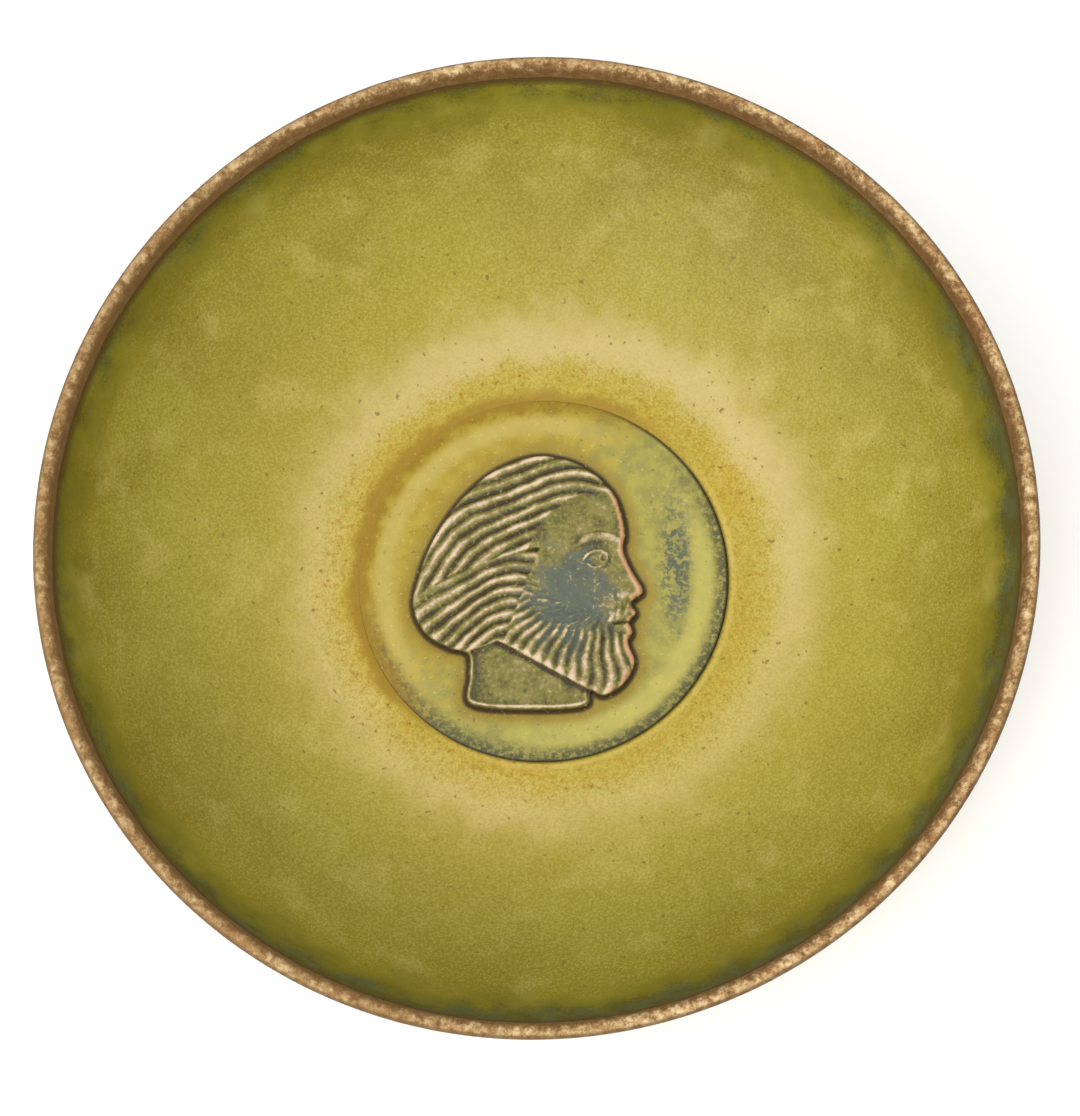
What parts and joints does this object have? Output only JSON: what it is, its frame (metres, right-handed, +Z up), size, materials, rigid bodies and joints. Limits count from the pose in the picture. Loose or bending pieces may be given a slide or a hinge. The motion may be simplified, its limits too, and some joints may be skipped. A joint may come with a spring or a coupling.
{
  "type": "stoneware bowl",
  "caption": "Wide shallow stoneware bowl on a turned foot, olive glaze inside and out, bare lip, and a round medallion with a bearded head in low relief in its floor.",
  "frame": {"origin": "middle of the resting face of the foot", "axes": "+Z up through the bowl's opening; +Y towards the crown of the head on the medallion; +X the way the head faces"},
  "size_m": [0.2, 0.2, 0.054],
  "materials": {
    "stoneware": "bare fired stoneware, tan with iron-brown streaks and pale blotches",
    "inner_glaze": "satin olive glaze, straw yellow in the floor and dark under the lip",
    "outer_glaze": "satin olive glaze with throwing rings, broken brown at the glaze line",
    "bare_clay": "bare trimmed stoneware",
    "medallion_glaze": "satin grey-green glaze with dark speckle, pooled dark at the edge",
    "relief_glaze": "satin glaze, broken pale pink-tan on the ridges and blue-grey in the hollows"
  },
  "bodies": {
    "root": {"bowl_body": "stoneware", "inner_glaze": "inner_glaze", "outer_glaze": "outer_glaze", "foot_ring": "bare_clay", "medallion_disc": "medallion_glaze", "relief_head": "relief_glaze"}
  },
  "joints": []
}
